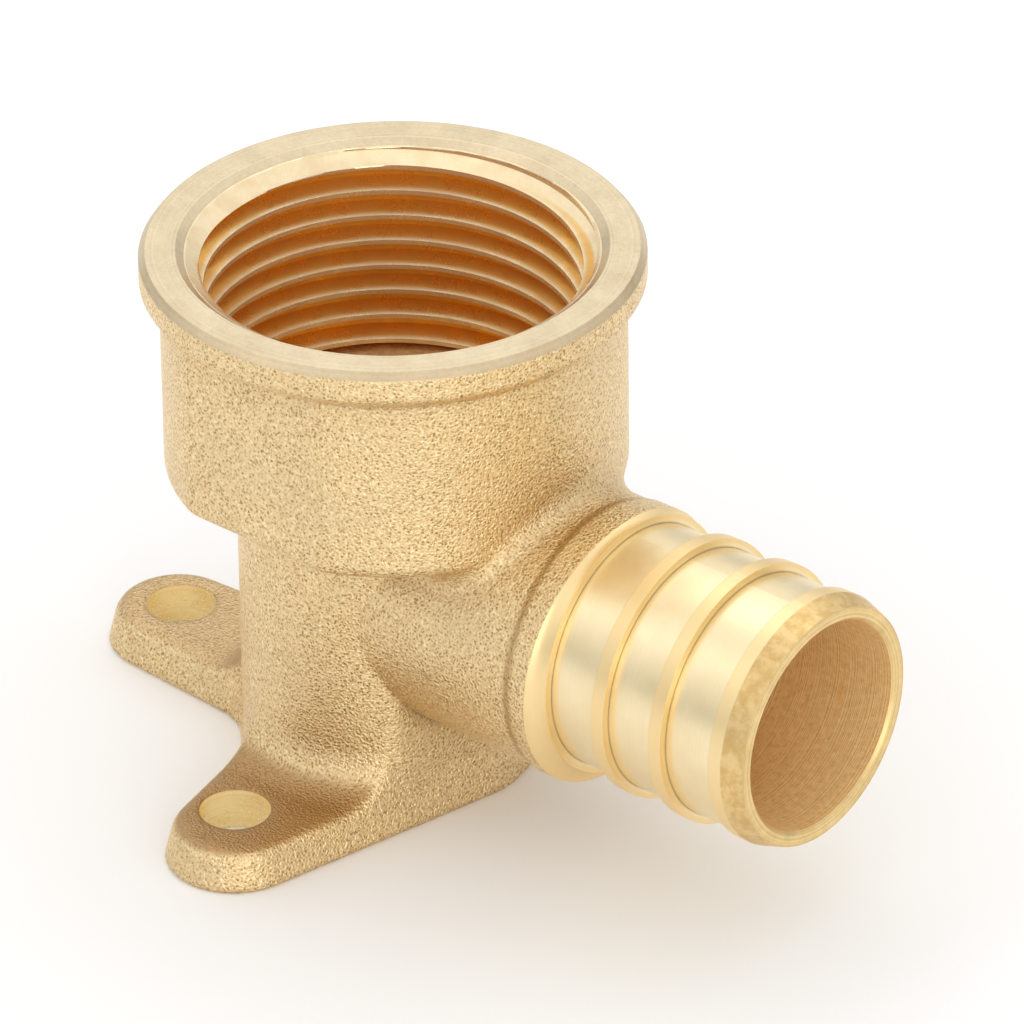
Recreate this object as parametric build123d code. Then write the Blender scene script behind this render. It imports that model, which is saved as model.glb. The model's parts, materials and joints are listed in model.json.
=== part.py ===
from build123d import *
import math
import os

# Drop-ear elbow in forged brass: a female pipe-thread socket turned through a right angle to a ribbed
# barb for plastic tube, standing on a flange with three screw ears. One solid, in millimetres.
# +Z runs along the socket axis and out of its mouth, +X along the barb and out of its end. The origin
# lies on the socket axis in the wall plane, which is the underside of the flange.

# Socket: its bore at the root of the pipe thread, the lead-in at the mouth and the flat seat
thread_root_radius = 13.2
mouth_lead_in = 0.55
mouth_chamfer_depth = 0.42
socket_depth = 14.8
seat_web = 0.9

# Cup round the socket, with a spanner flat on each side and a turned bead round the mouth
cup_wall = 1.65
cup_flat_wall = 0.6
cup_floor = 1.2
cup_corner_radius = 2.5
cup_lower_edge_radius = 1.0
bead_overhang = 1.25
bead_band_height = 2.0
bead_height = 3.4
rim_turned_step = 0.4
rim_turned_height = 0.5

# Column from the flange up to the cup, and the waterway drilled down it
column_bore_radius = 7.4
column_wall = 2.9
drill_overrun = 1.3
drill_point_angle = 118

# Flange: ears at the back and at both sides, and a blunt nose under the barb
ear_thickness = 2.8
ear_draft = 14
ear_hole_radius = 2.3
ear_tip_wall = 2.3
ear_top_edge_radius = 1.0
ear_lower_edge = 0.25
ear_root_radius = 3.0
ear_web_radius = 4.5
back_ear_hole_reach = 19.15
back_ear_tip_lead = 0.35
back_ear_root_half_width = 5.8
side_ear_hole_reach = 16.3
side_ear_tip_lead = 0.8
side_ear_shift = 0.7
side_ear_back_half_width = 7.5
nose_reach = 9.3
nose_radius = 6.0
nose_draft = 2
nose_ridge_radius = 2.0
base_lip = 0.25

# Branch: a forged neck and ring, from which the collar and the ribbed barb are turned a little off centre
barb_axis_height = 15.2
branch_bore_radius = 6.3
barb_bore_radius = 7.05
barb_bore_depth = 18.0
bore_edge_chamfer = 0.2
neck_drop = 0.55
neck_wall = 2.15
neck_length = 2.25
neck_blend_radius = 1.5
ring_step = 0.15
ring_length = 2.4
ring_flare_length = 0.45
collar_blend_radius = 1.3
first_rib_land = 0.15
barb_wall = 1.07
rib_height = 0.58
rib_width = 0.95
rib_pitch = 4.63
rib_count = 4
end_rib_height = 0.33
barb_end_wall = 0.95
barb_taper_length = 1.46

# Heights that follow from these, stacked from the wall plane up to the mouth
seat_height = barb_axis_height + branch_bore_radius + seat_web
mouth_height = seat_height + socket_depth
cup_bottom = seat_height - cup_floor
column_bore_end = barb_axis_height - branch_bore_radius - drill_overrun
neck_axis_height = barb_axis_height - neck_drop

# Radii that follow, each from the bore that it goes round
mouth_radius = thread_root_radius + mouth_lead_in
cup_radius = thread_root_radius + cup_wall
cup_flat_reach = thread_root_radius + cup_flat_wall
bead_radius = cup_radius + bead_overhang
column_radius = column_bore_radius + column_wall
ear_tip_radius = ear_hole_radius + ear_tip_wall
neck_radius = barb_bore_radius + neck_wall
ring_radius = neck_radius + ring_step
groove_radius = barb_bore_radius + barb_wall
rib_radius = groove_radius + rib_height
end_rib_radius = groove_radius + end_rib_height
barb_end_radius = barb_bore_radius + barb_end_wall

# Lengths that follow along the flange and the branch
back_ear_tip_reach = back_ear_hole_reach + back_ear_tip_lead
side_ear_tip_reach = side_ear_hole_reach + side_ear_tip_lead
ring_start = cup_radius + neck_length
collar_blend_end = ring_start + ring_length
first_rib_end = collar_blend_end + first_rib_land
last_rib_end = first_rib_end + (rib_count - 1) * rib_pitch
barb_end = last_rib_end + barb_taper_length

touch = 0.001
along_edge = (0.1, 0.5, 0.9)


def tangent_point(point, centre, radius, side):
    """Where the line from a point touches a circle, on the side that is 1 or -1."""
    to_centre = Vector(*centre) - Vector(*point)
    swing = math.degrees(math.asin(radius / to_centre.length))
    along = to_centre.normalized().rotate(Axis.Z, side * swing)
    reach = math.sqrt(to_centre.length**2 - radius**2)
    return Vector(*point) + along * reach


def tangent_ear(tip_centre, root_a, root_b, side):
    """Plan of an ear: straight edges from two root points, each tangent to a round tip."""
    touch_a = tangent_point(root_a, tip_centre, ear_tip_radius, side)
    touch_b = tangent_point(root_b, tip_centre, ear_tip_radius, -side)
    outward = (Vector(*tip_centre) - (Vector(*root_a) + Vector(*root_b)) / 2).normalized()
    tip_end = Vector(*tip_centre) + outward * ear_tip_radius
    edges = Polyline(touch_b, root_b, root_a, touch_a)
    return make_face(edges + ThreePointArc(touch_a, tip_end, touch_b))


def side_ear(side):
    """Plan of one side ear, whose front edge runs on to the nose under the barb."""
    return tangent_ear(
        (side_ear_shift, side * side_ear_tip_reach),
        (-side_ear_back_half_width, 0),
        (nose_reach, 0),
        side,
    )


def with_round_nose(outline):
    """The same plan with its corner under the barb rounded."""
    return fillet(outline.vertices().sort_by(Axis.X)[-1], nose_radius)


def flange_outline():
    """Plan of the flange: the column's foot, three ears and the nose, with round inner corners."""
    foot_radius = column_radius + base_lip
    foot = Circle(foot_radius) & Pos(-foot_radius, 0) * Rectangle(2 * foot_radius, 2 * foot_radius)
    back_ear = tangent_ear(
        (-back_ear_tip_reach, 0),
        (0, -back_ear_root_half_width),
        (0, back_ear_root_half_width),
        1,
    )
    grown = offset(foot + back_ear + side_ear(-1) + side_ear(1), ear_web_radius)
    return with_round_nose(offset(grown, -ear_web_radius))


def flange():
    """Flange with drafted walls, limited from above by a turned form that sweeps from the ear tops
    up into the column wall, with its upper edges rounded and its lower ones broken."""
    root_end = column_radius + ear_root_radius
    root_top = ear_thickness + ear_root_radius
    far = 2 * back_ear_tip_reach
    sweep = RadiusArc((root_end, ear_thickness), (column_radius, root_top), ear_root_radius)
    limit = Polyline(
        (column_radius, root_top),
        (column_radius, barb_axis_height),
        (0, barb_axis_height),
        (0, 0),
        (far, 0),
        (far, ear_thickness),
        (root_end, ear_thickness),
    )
    turned = revolve(Plane.XZ * make_face(sweep + limit), Axis.Z)
    body = extrude(flange_outline(), barb_axis_height, taper=ear_draft) & turned
    body = fillet(body.edges().filter_by(on_flange_top), ear_top_edge_radius)
    return chamfer(body.faces().sort_by(Axis.Z)[0].edges(), ear_lower_edge)


def lower_column():
    """Column below the branch, cut back on the barb's side in line with the flange's nose as it is at
    the top of the ears, and rounded where the nose runs into the column wall."""
    set_back = ear_thickness * math.tan(math.radians(ear_draft))
    nose = offset(with_round_nose(side_ear(-1) + side_ear(1)), -set_back)
    back = Pos(-column_radius, 0) * Rectangle(2 * column_radius, 2 * side_ear_tip_reach)
    height = barb_axis_height - ear_lower_edge
    wedge = extrude(nose + back, height, taper=nose_draft)
    body = extrude(Circle(column_radius), height) & wedge
    body = fillet(body.edges().filter_by(on_nose_ridge), nose_ridge_radius)
    return Pos(0, 0, ear_lower_edge) * body


def cup():
    """Cup under the bead, with its two flats, rounded corners and rounded lower edge."""
    plan = Circle(cup_radius) & Rectangle(2 * cup_radius, 2 * cup_flat_reach)
    plan = fillet(plan.vertices(), cup_corner_radius)
    body = Pos(0, 0, cup_bottom) * extrude(plan, mouth_height - bead_band_height - cup_bottom)
    lower_edges = body.faces().sort_by(Axis.Z)[0].edges()
    return fillet(lower_edges, cup_lower_edge_radius)


def bead():
    """Bead round the mouth: a turned band above a quarter-round underside."""
    band_bottom = mouth_height - bead_band_height
    under_bottom = mouth_height - bead_height
    under = RadiusArc((bead_radius, band_bottom), (cup_flat_reach, under_bottom), bead_height)
    limit = Polyline(
        (cup_flat_reach, under_bottom),
        (thread_root_radius, under_bottom),
        (thread_root_radius, mouth_height),
        (bead_radius - rim_turned_step, mouth_height),
        (bead_radius, mouth_height - rim_turned_height),
        (bead_radius, band_bottom),
    )
    return revolve(Plane.XZ * make_face(under + limit), Axis.Z)


def upper_column():
    """Column from the branch up to the socket's seat."""
    return Pos(0, 0, barb_axis_height) * extrude(Circle(column_radius), seat_height - barb_axis_height)


def turned_branch(profile, axis_height):
    """A form turned about the branch's direction at a height, from a profile of length and radius."""
    section = Pos(0, 0, axis_height) * (Plane.XZ * make_face(profile))
    return revolve(section, Axis((0, 0, axis_height), (1, 0, 0)))


def neck_forging():
    """Forged neck, flaring into a ring that runs on to the barb's end as stock for turning."""
    outer = Polyline(
        (0, 0),
        (0, neck_radius),
        (ring_start - ring_flare_length, neck_radius),
        (ring_start, ring_radius),
        (barb_end, ring_radius),
        (barb_end, 0),
        close=True,
    )
    return turned_branch(outer, neck_axis_height)


def turning_limit():
    """What turning leaves of the branch: all of the neck, a hollow collar and the ribbed barb."""
    blend_start = collar_blend_end - collar_blend_radius
    blend_top = rib_radius + collar_blend_radius
    clear = ring_radius + neck_radius
    outer = Polyline((0, 0), (0, clear), (blend_start, clear), (blend_start, blend_top))
    outer += RadiusArc((blend_start, blend_top), (collar_blend_end, rib_radius), -collar_blend_radius)
    steps = [(collar_blend_end, rib_radius), (first_rib_end, rib_radius), (first_rib_end, groove_radius)]
    for rib in range(1, rib_count - 1):
        rib_end = first_rib_end + rib * rib_pitch
        steps += [(rib_end - rib_width, groove_radius), (rib_end - rib_width, rib_radius)]
        steps += [(rib_end, rib_radius), (rib_end, groove_radius)]
    steps += [(last_rib_end - rib_width, groove_radius), (last_rib_end - rib_width, end_rib_radius)]
    steps += [(last_rib_end, end_rib_radius), (barb_end, barb_end_radius), (barb_end, 0), (0, 0)]
    outer += Polyline(*steps)
    return turned_branch(outer, barb_axis_height)


def branch():
    """Neck with its collar and barb."""
    return neck_forging() & turning_limit()


def on_flange_top(edge):
    """Whether an edge is where the flange's upright walls end at the top."""
    points = [edge.position_at(share) for share in along_edge]
    lowest = min(point.Z for point in points)
    highest = max(point.Z for point in points)
    root_end = column_radius + ear_root_radius
    in_height = lowest > ear_thickness - touch and highest < ear_thickness + ear_root_radius + touch
    radii = [math.hypot(point.X, point.Y) for point in points]
    over_root = all(abs(radius - root_end) < touch for radius in radii)
    return in_height and min(radii) > column_radius + touch and not over_root


def on_nose_ridge(edge):
    """Whether an edge is where the nose's walls run into the column wall."""
    points = [edge.position_at(share) for share in along_edge]
    on_column = all(abs(math.hypot(point.X, point.Y) - column_radius) < touch for point in points)
    return on_column and abs(points[-1].Z - points[0].Z) > touch


def on_neck_root(edge):
    """Whether an edge is where the neck runs into the cup."""
    points = [edge.position_at(share) for share in along_edge]
    on_seam = all(abs(point.Y) < touch for point in points)
    radii = [math.hypot(point.Y, point.Z - neck_axis_height) for point in points]
    on_neck = all(abs(radius - neck_radius) < touch for radius in radii)
    on_cup = all(point.Z > cup_bottom - touch for point in points)
    return on_neck and on_cup and not on_seam


def socket_bore():
    """Space in the socket: the bore at the thread's root, opening in a lead-in at the mouth."""
    section = Polyline(
        (0, seat_height),
        (thread_root_radius, seat_height),
        (thread_root_radius, mouth_height - mouth_chamfer_depth),
        (mouth_radius, mouth_height),
        (0, mouth_height),
        close=True,
    )
    return revolve(Plane.XZ * make_face(section), Axis.Z)


def column_bore():
    """Drilled waterway down the column, ending in a drill point under the branch."""
    point_depth = column_bore_radius / math.tan(math.radians(drill_point_angle / 2))
    section = Polyline(
        (0, column_bore_end - point_depth),
        (column_bore_radius, column_bore_end),
        (column_bore_radius, seat_height),
        (0, seat_height),
        close=True,
    )
    return revolve(Plane.XZ * make_face(section), Axis.Z)


def barb_bore():
    """Drilled waterway through the branch, stepped up in the barb and with its edge broken at the end."""
    step = barb_end - barb_bore_depth
    section = Polyline(
        (0, 0),
        (0, branch_bore_radius),
        (step, branch_bore_radius),
        (step, barb_bore_radius),
        (barb_end - bore_edge_chamfer, barb_bore_radius),
        (barb_end, barb_bore_radius + bore_edge_chamfer),
        (barb_end, 0),
        close=True,
    )
    return turned_branch(section, barb_axis_height)


def ear_holes():
    """Screw holes through the three ears."""
    centres = [(-back_ear_hole_reach, 0), (0, -side_ear_hole_reach), (0, side_ear_hole_reach)]
    drill = extrude(Circle(ear_hole_radius), ear_thickness)
    return [Pos(*centre) * drill for centre in centres]


def elbow_body():
    """The whole fitting: forged outside first, then the machined waterways and holes."""
    forging = flange() + lower_column() + upper_column() + branch() + cup()
    forging = fillet(forging.edges().filter_by(on_neck_root), neck_blend_radius)
    waterway = [socket_bore(), column_bore(), barb_bore()]
    return forging + bead() - waterway - ear_holes()


os.makedirs("parts", exist_ok=True)
export_step(elbow_body(), "parts/elbow_body.step")
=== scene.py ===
import json
import math

import bmesh
import bpy
from mathutils import Matrix, Vector


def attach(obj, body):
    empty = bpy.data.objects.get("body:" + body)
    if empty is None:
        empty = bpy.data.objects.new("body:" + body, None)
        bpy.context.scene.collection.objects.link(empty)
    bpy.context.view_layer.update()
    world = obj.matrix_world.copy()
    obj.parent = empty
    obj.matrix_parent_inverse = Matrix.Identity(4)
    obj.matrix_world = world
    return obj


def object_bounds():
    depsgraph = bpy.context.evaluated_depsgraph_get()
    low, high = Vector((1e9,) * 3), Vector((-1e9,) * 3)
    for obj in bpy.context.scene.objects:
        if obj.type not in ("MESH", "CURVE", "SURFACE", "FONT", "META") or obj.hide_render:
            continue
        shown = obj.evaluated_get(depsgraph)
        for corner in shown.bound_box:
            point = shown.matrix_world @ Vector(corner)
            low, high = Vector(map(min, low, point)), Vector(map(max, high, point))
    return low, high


MM = 0.001

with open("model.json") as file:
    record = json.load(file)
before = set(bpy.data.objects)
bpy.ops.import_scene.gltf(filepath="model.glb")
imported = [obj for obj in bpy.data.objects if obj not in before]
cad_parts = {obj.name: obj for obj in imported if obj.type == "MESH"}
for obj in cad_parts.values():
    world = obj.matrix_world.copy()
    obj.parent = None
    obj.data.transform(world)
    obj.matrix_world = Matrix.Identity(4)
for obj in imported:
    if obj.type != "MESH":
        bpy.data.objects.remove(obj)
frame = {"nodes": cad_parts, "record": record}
cad_low, cad_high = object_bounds()
elbow = frame["nodes"]["elbow_body"]
mounts = {mount["name"]: mount for mount in frame["record"]["mounts"]}

# Sizes in millimetres that the looks follow, read from the frame
mouth_height = cad_high.z / MM
barb_end = cad_high.x / MM
barb_height = mounts["barb"]["pos_m"][2] / MM
rib_radius = mounts["barb"]["dims"]["r_mm"]
root_radius = mounts["socket"]["dims"]["r_mm"]
socket_low = mounts["socket"]["pos_m"][2] / MM - mounts["socket"]["dims"]["length_mm"] / 2
socket_high = mounts["socket"]["pos_m"][2] / MM + mounts["socket"]["dims"]["length_mm"] / 2
ear_holes = [mounts[name] for name in ("back_ear_hole", "front_ear_hole", "far_ear_hole")]

# Where the finishes meet, in millimetres
rim_depth = 0.55
ring_start = 16.85
collar_back = 18.0
collar_front = 19.3
branch_bore_limit = 7.4
column_bore_limit = 7.6
column_bore_floor = 2.9
barb_end_round = 0.3
ear_hole_top = 3.0
face_slack = 0.05

# Pipe thread, in millimetres
thread_pitch = 25.4 / 14
thread_crest_radius = 12.1
thread_depth = 1.03
thread_taper = 1 / 32
thread_crest_flat = 0.3
thread_flank_slope = 1.73
first_crest_depth = 3.15
far_side_angle = math.radians(130.6)
lead_in_slope = 1.42
thread_bed = 0.06
thread_clearance = 0.03
thread_row_spacing = 0.11
thread_steps_around = 360
turns_above_socket = 4
thread_sharp_angle = math.radians(40)
merge_distance = 1e-7

# Painted shade: browns mixed in where shade falls in the forging's hollows and the turned parts' corners
hollow_shade = (0.40, 0.225, 0.075, 1.0)
corner_shade = (0.30, 0.165, 0.055, 1.0)

# Studio, in metres
floor_half = 3.0
floor_gap = 0.02 * MM
panel_aim = Vector((0.003, 0.0, 0.017))


# Shader helpers
class Shader:
    """A material's nodes, with short calls for those that the brass finishes use."""

    def __init__(self, name):
        self.material = bpy.data.materials.new(name)
        self.material.use_nodes = True
        self.tree = self.material.node_tree
        self.shade = self.tree.nodes["Principled BSDF"]
        self.place = self.node("ShaderNodeTexCoord").outputs["Object"]
        self.axes = self.node("ShaderNodeSeparateXYZ", Vector=self.place).outputs
        normal = self.node("ShaderNodeNewGeometry").outputs["Normal"]
        self.facing = self.node("ShaderNodeSeparateXYZ", Vector=normal).outputs

    def node(self, kind, settings=None, **inputs):
        made = self.tree.nodes.new(kind)
        for key, value in (settings or {}).items():
            setattr(made, key, value)
        for key, value in inputs.items():
            self.join(made.inputs[key.replace("_", " ")], value)
        return made

    def join(self, socket, value):
        if isinstance(value, bpy.types.NodeSocket):
            self.tree.links.new(value, socket)
        else:
            socket.default_value = value

    def math(self, operation, first, second=0.0):
        made = self.tree.nodes.new("ShaderNodeMath")
        made.operation = operation
        for socket, value in zip(made.inputs, (first, second)):
            self.join(socket, value)
        return made.outputs[0]

    def ramp(self, value, low, high, to_low=0.0, to_high=1.0):
        made = self.node("ShaderNodeMapRange", {"interpolation_type": "SMOOTHSTEP"}, Value=value)
        made.inputs["From Min"].default_value = low
        made.inputs["From Max"].default_value = high
        made.inputs["To Min"].default_value = to_low
        made.inputs["To Max"].default_value = to_high
        return made.outputs["Result"]

    def noise(self, scale, detail, roughness):
        made = self.node("ShaderNodeTexNoise", {"noise_dimensions": "3D"}, Vector=self.place)
        made.inputs["Scale"].default_value = scale
        made.inputs["Detail"].default_value = detail
        made.inputs["Roughness"].default_value = roughness
        return made.outputs["Fac"]

    def lines(self, along, scale, detail, roughness):
        """Noise along one direction only, as a tool leaves it."""
        made = self.node("ShaderNodeTexNoise", {"noise_dimensions": "1D"}, W=along)
        made.inputs["Scale"].default_value = scale
        made.inputs["Detail"].default_value = detail
        made.inputs["Roughness"].default_value = roughness
        return made.outputs["Fac"]

    def cells(self, scale):
        made = self.node("ShaderNodeTexVoronoi", Vector=self.place)
        made.inputs["Scale"].default_value = scale
        return made.outputs["Distance"]

    def colours(self, value, stops):
        made = self.node("ShaderNodeValToRGB", Fac=value)
        points = made.color_ramp.elements
        while len(points) < len(stops):
            points.new(0.5)
        for point, (place, colour) in zip(points, stops):
            point.position = place
            point.color = (*colour, 1.0)
        return made.outputs["Color"]

    def mix(self, share, first, second):
        made = self.tree.nodes.new("ShaderNodeMix")
        made.data_type = "RGBA"
        for name, value in (("Factor_Float", share), ("A_Color", first), ("B_Color", second)):
            socket = next(item for item in made.inputs if item.identifier == name)
            self.join(socket, value)
        return next(item for item in made.outputs if item.identifier == "Result_Color")

    def from_axis(self, first, second):
        """Distance from an axis, from two of the place's coordinates."""
        squares = [self.math("MULTIPLY", value, value) for value in (first, second)]
        return self.math("SQRT", self.math("ADD", *squares))

    def from_barb_axis(self):
        return self.from_axis(self.axes["Y"], self.math("SUBTRACT", self.axes["Z"], barb_height * MM))

    def blend(self, first, first_share, second, second_share):
        """Two patterns added, each by its share."""
        parts = [self.math("MULTIPLY", first, first_share), self.math("MULTIPLY", second, second_share)]
        return self.math("ADD", *parts)

    def bump(self, height, distance, strength, normal=None):
        made = self.node("ShaderNodeBump", Height=height)
        made.inputs["Distance"].default_value = distance
        made.inputs["Strength"].default_value = strength
        if normal is not None:
            self.join(made.inputs["Normal"], normal)
        return made.outputs["Normal"]

    def hollows(self, reach, strength):
        """How far a place lies in a corner or hollow, up to a strength: the share of painted shade that a
        material mixes in there.
        """
        made = self.node("ShaderNodeAmbientOcclusion", {"samples": 4, "only_local": True})
        made.inputs["Distance"].default_value = reach
        return self.ramp(made.outputs["AO"], 0.30, 0.95, strength, 0.0)

    def soft_edges(self, radius):
        made = self.node("ShaderNodeBevel", {"samples": 4})
        made.inputs["Radius"].default_value = radius
        return made.outputs["Normal"]

    def finish(self, colour, roughness, normal=None, metallic=1.0):
        self.join(self.shade.inputs["Base Color"], colour)
        self.join(self.shade.inputs["Roughness"], roughness)
        self.shade.inputs["Metallic"].default_value = metallic
        if normal is not None:
            self.join(self.shade.inputs["Normal"], normal)
        return self.material


def cast_brass():
    """Blasted forging: lit grains with dark pits, duller in patches, with painted brown shade on the ear
    tops, in a line round the neck by the ring, and in hollows.
    """
    s = Shader("cast_brass")
    grain = s.noise(6200.0, 1.5, 0.55)
    pits = s.cells(5200.0)
    patches = s.noise(160.0, 3.0, 0.55)
    speck = s.blend(grain, 0.70, pits, 0.32)
    base = s.colours(speck, (
        (0.34, (0.400, 0.250, 0.095)),
        (0.46, (0.790, 0.580, 0.300)),
        (0.58, (0.870, 0.660, 0.365)),
        (0.70, (1.000, 0.850, 0.540)),
    ))
    dull = s.math("MULTIPLY", s.ramp(patches, 0.40, 0.66), 0.22)
    tone = s.mix(dull, base, (0.70, 0.53, 0.31, 1.0))
    # Painted shade and painted brass reflection: upward faces low on the ears turned brown, stronger
    # towards +X, where the cup overhangs
    on_ears = s.math("MULTIPLY", s.ramp(s.facing["Z"], 0.55, 0.90), s.ramp(s.axes["Z"], 4.8 * MM, 3.2 * MM))
    ear_top_shade = s.math("MULTIPLY", on_ears, s.ramp(s.axes["X"], -14.0 * MM, -9.0 * MM, 0.50, 0.90))
    tone = s.mix(ear_top_shade, tone, (0.46, 0.280, 0.125, 1.0))
    # Painted shadow: a brown line round the neck where the ring starts
    near_barb = s.ramp(s.from_barb_axis(), 10.2 * MM, 9.9 * MM)
    from_ring = s.math("ABSOLUTE", s.math("SUBTRACT", s.axes["X"], ring_start * MM))
    ring_line_shade = s.math("MULTIPLY", s.ramp(from_ring, 0.55 * MM, 0.05 * MM), near_barb)
    tone = s.mix(s.math("MULTIPLY", ring_line_shade, 0.55), tone, hollow_shade)
    # Painted shade: brown in the forging's hollows and small corners
    tone = s.mix(s.hollows(3.4 * MM, 0.90), tone, hollow_shade)
    tone = s.mix(s.hollows(0.6 * MM, 0.38), tone, corner_shade)
    roughness = s.ramp(grain, 0.3, 0.7, 0.30, 0.44)
    height = s.math("ADD", grain, s.math("MULTIPLY", pits, 0.7))
    normal = s.bump(height, 0.08 * MM, 1.0, s.soft_edges(0.6 * MM))
    return s.finish(tone, roughness, normal)


def faced_brass():
    """Rim faced on a lathe: satin, with fine rings round the socket's axis, uneven painted brown shade on
    its edges and painted shade in its corners.
    """
    s = Shader("faced_brass")
    radius = s.from_axis(s.axes["X"], s.axes["Y"])
    rings = s.lines(radius, 6500.0, 3.0, 0.7)
    clouds = s.noise(420.0, 4.0, 0.6)
    flecks = s.noise(3800.0, 2.0, 0.6)
    mixed = s.blend(rings, 0.35, clouds, 0.35)
    tone = s.colours(s.math("ADD", mixed, s.math("MULTIPLY", flecks, 0.30)), (
        (0.32, (0.660, 0.520, 0.325)),
        (0.50, (0.760, 0.625, 0.415)),
        (0.68, (0.850, 0.730, 0.510)),
    ))
    # Painted shade: uneven brown on the rim's edges, where the surface turns away from up
    uneven = s.ramp(s.noise(70.0, 2.0, 0.5), 0.35, 0.65, 0.35, 0.85)
    rim_edge_shade = s.math("MULTIPLY", s.ramp(s.facing["Z"], 0.80, 0.30), uneven)
    tone = s.mix(rim_edge_shade, tone, (0.34, 0.20, 0.075, 1.0))
    # Painted shade: brown in the rim's corners
    tone = s.mix(s.hollows(0.8 * MM, 0.5), tone, (0.42, 0.25, 0.09, 1.0))
    normal = s.bump(rings, 0.012 * MM, 0.5, s.soft_edges(0.12 * MM))
    return s.finish(tone, s.ramp(clouds, 0.3, 0.7, 0.28, 0.40), normal)


def turned_brass():
    """Barb turned bright: smooth grooves with painted dark shade in their corners, gold ribs and a duller
    tapered end.
    """
    s = Shader("turned_brass")
    radius = s.from_barb_axis()
    rings = s.lines(s.axes["X"], 9000.0, 3.0, 0.7)
    clouds = s.noise(300.0, 4.0, 0.55)
    tone = s.colours(s.blend(rings, 0.25, clouds, 0.75), (
        (0.30, (0.880, 0.720, 0.430)),
        (0.55, (0.940, 0.790, 0.500)),
        (0.72, (0.980, 0.850, 0.570)),
    ))
    on_ribs = s.ramp(radius, (rib_radius - 0.45) * MM, (rib_radius - 0.2) * MM)
    on_end = s.ramp(s.axes["X"], (barb_end - 1.5) * MM, (barb_end - 1.4) * MM)
    gold = s.math("MULTIPLY", s.math("MAXIMUM", on_ribs, on_end), 0.75)
    tone = s.mix(gold, tone, (0.94, 0.70, 0.34, 1.0))
    mottled = s.ramp(s.noise(1300.0, 4.0, 0.65), 0.35, 0.65, 0.45, 0.95)
    tone = s.mix(s.math("MULTIPLY", on_end, mottled), tone, (0.66, 0.44, 0.17, 1.0))
    # Painted shade: dark brown in the corners beside the ribs
    tone = s.mix(s.hollows(0.16 * MM, 0.9), tone, (0.30, 0.15, 0.04, 1.0))
    roughness = s.math("ADD", s.math("MULTIPLY", gold, 0.10), s.ramp(clouds, 0.3, 0.7, 0.32, 0.36))
    normal = s.bump(rings, 0.004 * MM, 0.4, s.soft_edges(0.05 * MM))
    return s.finish(tone, roughness, normal)


def bored_brass():
    """Drilled waterways: rough rings left by the tool, along the branch and along the column."""
    s = Shader("bored_brass")
    in_branch = s.ramp(s.axes["X"], 7.0 * MM, 7.6 * MM)
    along = s.blend(s.axes["X"], in_branch, s.axes["Z"], s.math("SUBTRACT", 1.0, in_branch))
    wobble = s.math("MULTIPLY", s.noise(900.0, 2.0, 0.5), 0.06 * MM)
    rings = s.lines(s.math("ADD", along, wobble), 15000.0, 1.0, 0.6)
    clouds = s.noise(2600.0, 4.0, 0.70)
    tone = s.colours(s.blend(rings, 0.6, clouds, 0.4), (
        (0.34, (0.640, 0.370, 0.130)),
        (0.50, (0.920, 0.620, 0.265)),
        (0.66, (1.000, 0.820, 0.450)),
    ))
    normal = s.bump(rings, 0.05 * MM, 0.8)
    return s.finish(tone, s.ramp(clouds, 0.3, 0.7, 0.36, 0.52), normal, metallic=0.25)


def drilled_brass():
    """Screw holes: bright, with fine marks round the hole."""
    s = Shader("drilled_brass")
    marks = s.lines(s.axes["Z"], 5200.0, 2.0, 0.6)
    clouds = s.noise(900.0, 3.0, 0.6)
    tone = s.colours(s.blend(marks, 0.6, clouds, 0.4), (
        (0.32, (0.940, 0.720, 0.350)),
        (0.50, (1.000, 0.840, 0.480)),
        (0.68, (1.000, 0.930, 0.660)),
    ))
    normal = s.bump(marks, 0.02 * MM, 0.4)
    return s.finish(tone, s.ramp(clouds, 0.3, 0.7, 0.24, 0.36), normal, metallic=0.5)


def parted_brass():
    """End of the barb where it was parted off: gold, with rings round the barb's axis."""
    s = Shader("parted_brass")
    rings = s.lines(s.from_barb_axis(), 7000.0, 2.0, 0.6)
    clouds = s.noise(900.0, 3.0, 0.6)
    tone = s.colours(s.blend(rings, 0.5, clouds, 0.5), (
        (0.32, (0.620, 0.440, 0.190)),
        (0.50, (0.780, 0.570, 0.260)),
        (0.68, (0.920, 0.700, 0.340)),
    ))
    return s.finish(tone, s.ramp(clouds, 0.3, 0.7, 0.32, 0.44), s.bump(rings, 0.01 * MM, 0.4))


def threaded_brass():
    """Cut thread: bright crests and lead-in, painted amber reflection down in the roots, with fine marks
    along the turns.
    """
    s = Shader("threaded_brass")
    depth = s.math("SUBTRACT", mouth_height * MM, s.axes["Z"])
    radius = s.from_axis(s.axes["X"], s.axes["Y"])
    level = s.math("ADD", radius, s.math("MULTIPLY", depth, thread_taper))
    low, high = thread_crest_radius * MM, (thread_crest_radius + thread_depth) * MM
    # Painted reflection: amber in the roots, below 1.2 mm down, for brass reflected between the flanks
    root_reflection = s.math("MULTIPLY", s.ramp(level, low, high), s.ramp(depth, 1.2 * MM, 1.5 * MM))
    tone = s.colours(root_reflection, (
        (0.00, (0.930, 0.770, 0.500)),
        (0.07, (0.880, 0.620, 0.290)),
        (0.20, (0.900, 0.500, 0.120)),
        (1.00, (0.980, 0.540, 0.085)),
    ))
    marks = s.lines(s.axes["Z"], 9000.0, 2.0, 0.6)
    clouds = s.noise(700.0, 4.0, 0.6)
    worn = s.ramp(clouds, 0.35, 0.70)
    tone = s.mix(s.math("MULTIPLY", worn, 0.25), tone, (0.62, 0.36, 0.13, 1.0))
    normal = s.bump(marks, 0.006 * MM, 0.3)
    return s.finish(tone, s.ramp(clouds, 0.3, 0.7, 0.24, 0.36), normal, metallic=0.8)


# Which finish each face of the body has
CAST, FACED, TURNED, BORED, DRILLED, PARTED = range(6)


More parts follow.
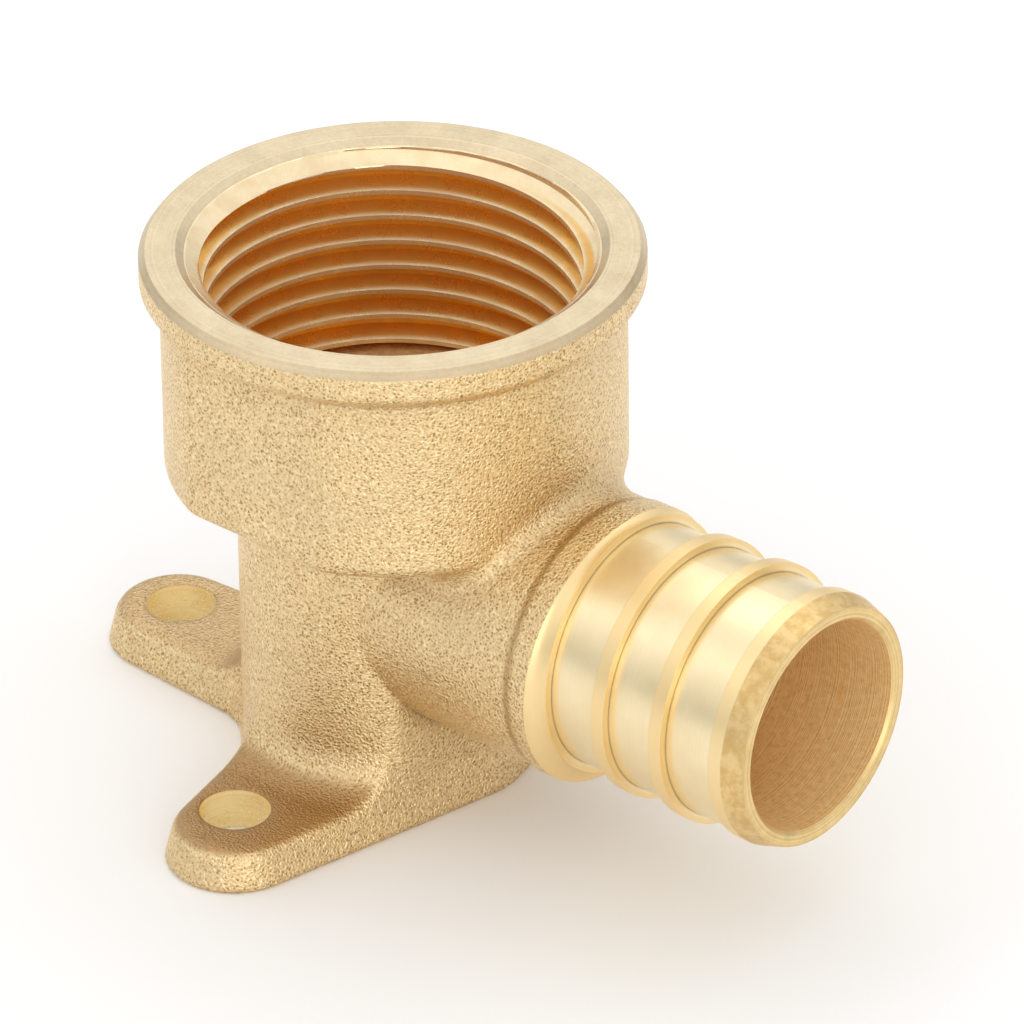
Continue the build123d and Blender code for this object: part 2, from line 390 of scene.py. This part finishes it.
def finish_of(centre, normal):
    """The finish of a face, from its middle in millimetres and its normal."""
    x, y, z = centre
    from_socket = math.hypot(x, y)
    from_barb = math.hypot(y, z - barb_height)
    for hole in ear_holes:
        hole_x, hole_y = hole["pos_m"][0] / MM, hole["pos_m"][1] / MM
        near = math.hypot(x - hole_x, y - hole_y) < hole["dims"]["r_mm"] + face_slack
        if near and z < ear_hole_top and abs(normal.z) < 0.5:
            return DRILLED
    if z > mouth_height - rim_depth and from_socket > root_radius - 2 * face_slack:
        return FACED
    if from_socket < root_radius + face_slack and z > socket_low - face_slack:
        return BORED
    if x > barb_end - face_slack:
        return PARTED
    if x > collar_back and from_barb > branch_bore_limit and (normal.x > 0.04 or x > collar_front):
        return TURNED
    if x > 0 and from_barb < branch_bore_limit and abs(y) < branch_bore_limit:
        return BORED if x < barb_end - barb_end_round else PARTED
    if from_socket < column_bore_limit and column_bore_floor < z < socket_low + face_slack:
        return BORED
    return CAST


def dress_body():
    """Put the finishes on the body's faces, in the order of their numbers."""
    mesh = elbow.data
    mesh.materials.clear()
    for make in (cast_brass, faced_brass, turned_brass, bored_brass, drilled_brass, parted_brass):
        mesh.materials.append(make())
    for face in mesh.polygons:
        face.material_index = finish_of(face.center / MM, face.normal)


# Thread in the socket: a thin closed sleeve let into the bore, its rows running along the turns
def thread_section():
    """(distance down from a crest, radius) over one pitch, from mid root to just before the next."""
    crest = thread_crest_flat / 2
    flank = crest + thread_depth / thread_flank_slope
    half = thread_pitch / 2
    marks = [(-half, 1.0), (-flank, 1.0), (-crest, 0.0), (crest, 0.0), (flank, 1.0), (half, 1.0)]
    rows = []
    for (start, low), (end, high) in zip(marks, marks[1:]):
        pieces = max(2, round((end - start) / thread_row_spacing))
        for piece in range(pieces):
            share = piece / pieces
            cut = thread_depth * (low + (high - low) * share)
            rows.append((start + (end - start) * share, thread_crest_radius + cut))
    return rows


def thread_point(turn, down, radius, angle):
    """A point of the cut thread, kept within the socket and cut back by the lead-in cone."""
    lag = thread_pitch * (angle - far_side_angle) / math.tau
    depth = first_crest_depth + turn * thread_pitch + down - lag
    height = mouth_height - depth
    if height < socket_low:
        return root_radius + thread_bed, socket_low
    height = min(height, socket_high)
    widest = root_radius - thread_clearance
    lead_in = widest - (socket_high - height) * lead_in_slope
    return min(max(radius - depth * thread_taper, lead_in), widest), height


def round_socket(reach, angle, height):
    """A point at a distance from the socket's axis, in metres."""
    return Vector((reach * math.cos(angle), reach * math.sin(angle), height)) * MM


def thread_sleeve():
    around = thread_steps_around
    angles = [math.tau * step / around for step in range(around)]
    section = thread_section()
    turns = range(-turns_above_socket, math.ceil((socket_high - socket_low) / thread_pitch) + 2)
    rows = [(turn, down, radius) for turn in turns for down, radius in section]
    shape = bmesh.new()
    grid = []
    for turn, down, radius in rows:
        line = []
        for angle in angles:
            reach, height = thread_point(turn, down, radius, angle)
            line.append(shape.verts.new(round_socket(reach, angle, height)))
        grid.append(line)
    for row, (upper, lower) in enumerate(zip(grid, grid[1:])):
        for step in range(around - 1):
            shape.faces.new((upper[step], lower[step], lower[step + 1], upper[step + 1]))
        back = row - len(section)
        if back >= 0:
            shape.faces.new((upper[-1], lower[-1], grid[back + 1][0], grid[back][0]))
    bed = root_radius + thread_bed
    top, bottom = (
        [shape.verts.new(round_socket(bed, angle, height)) for angle in angles]
        for height in (socket_high, socket_low)
    )
    for step in range(around):
        after = (step + 1) % around
        shape.faces.new((bottom[step], top[step], top[after], bottom[after]))
        shape.faces.new((top[step], grid[0][step], grid[0][after], top[after]))
    bmesh.ops.remove_doubles(shape, verts=shape.verts, dist=merge_distance)
    bmesh.ops.recalc_face_normals(shape, faces=shape.faces)
    mesh = bpy.data.meshes.new("socket_thread")
    shape.to_mesh(mesh)
    shape.free()
    for face in mesh.polygons:
        face.use_smooth = True
    mesh.set_sharp_from_angle(angle=thread_sharp_angle)
    mesh.materials.append(threaded_brass())
    sleeve = bpy.data.objects.new("socket_thread", mesh)
    bpy.context.scene.collection.objects.link(sleeve)
    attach(sleeve, "root")


# Studio: a pale floor, soft light all round and three weak panels
def floor_material():
    s = Shader("pale_floor")
    tone = s.colours(s.noise(14.0, 3.0, 0.5), ((0.0, (0.93, 0.93, 0.93)), (1.0, (0.96, 0.96, 0.96))))
    return s.finish(tone, 0.7, metallic=0.0)


def make_floor():
    half = floor_half
    mesh = bpy.data.meshes.new("floor")
    corners = [(-half, -half, 0), (half, -half, 0), (half, half, 0), (-half, half, 0)]
    mesh.from_pydata(corners, [], [(0, 1, 2, 3)])
    mesh.materials.append(floor_material())
    floor = bpy.data.objects.new("floor", mesh)
    floor.location.z = -floor_gap
    bpy.context.scene.collection.objects.link(floor)


def make_panel(name, place, size, radiance, colour):
    """A soft square panel that faces the object."""
    data = bpy.data.lights.new(name, "AREA")
    data.shape = "SQUARE"
    data.size = size
    data.energy = radiance * math.pi * size * size
    data.color = colour
    panel = bpy.data.objects.new(name, data)
    panel.location = place
    panel.rotation_mode = "QUATERNION"
    panel.rotation_quaternion = (panel_aim - Vector(place)).to_track_quat("-Z", "Y")
    bpy.context.scene.collection.objects.link(panel)


def make_world():
    """A white dome, dimmer near the horizon than overhead."""
    world = bpy.data.worlds.new("studio")
    bpy.context.scene.world = world
    world.use_nodes = True
    tree = world.node_tree
    surround = tree.nodes["Background"]
    surround.inputs["Color"].default_value = (1.0, 1.0, 1.0, 1.0)
    way = tree.nodes.new("ShaderNodeTexCoord").outputs["Generated"]
    split = tree.nodes.new("ShaderNodeSeparateXYZ")
    dome = tree.nodes.new("ShaderNodeMapRange")
    dome.interpolation_type = "SMOOTHSTEP"
    for name, value in (("From Min", 0.0), ("From Max", 0.55), ("To Min", 0.56), ("To Max", 1.04)):
        dome.inputs[name].default_value = value
    tree.links.new(way, split.inputs["Vector"])
    tree.links.new(split.outputs["Z"], dome.inputs["Value"])
    tree.links.new(dome.outputs["Result"], surround.inputs["Strength"])


# Camera fitted to the photograph, in degrees and millimetres
camera_elevation = math.radians(31.68)
camera_turn = math.radians(49.37)
camera_roll = math.radians(-0.77)
camera_distance = 701.34
camera_aim_right = 7.11
camera_aim_up = 14.74
camera_lens = 379.76


def make_camera():
    back = Vector((
        math.cos(camera_turn) * math.cos(camera_elevation),
        -math.sin(camera_turn) * math.cos(camera_elevation),
        math.sin(camera_elevation),
    ))
    level = Vector((math.sin(camera_turn), math.cos(camera_turn), 0.0))
    upright = back.cross(level)
    right = level * math.cos(camera_roll) + upright * math.sin(camera_roll)
    up = upright * math.cos(camera_roll) - level * math.sin(camera_roll)
    data = bpy.data.cameras.new("camera")
    data.lens = camera_lens
    data.sensor_width = 36.0
    data.clip_start, data.clip_end = 0.05, 20.0
    camera = bpy.data.objects.new("camera", data)
    place = (right * camera_aim_right + up * camera_aim_up + back * camera_distance) * MM
    camera.matrix_world = Matrix.Translation(place) @ Matrix((right, up, back)).transposed().to_4x4()
    bpy.context.scene.collection.objects.link(camera)
    bpy.context.scene.camera = camera


dress_body()
thread_sleeve()
make_floor()
make_world()
make_panel("top_panel", (-0.30, 0.34, 0.88), size=0.70, radiance=0.7, colour=(1.0, 1.0, 1.0))
make_panel("key_panel", (-0.40, -0.60, 0.85), size=0.45, radiance=0.5, colour=(1.0, 0.99, 0.97))
make_panel("right_panel", (0.66, -0.52, 0.22), size=0.45, radiance=2.0, colour=(1.0, 0.97, 0.92))
make_camera()
bpy.context.scene.view_settings.view_transform = "Standard"
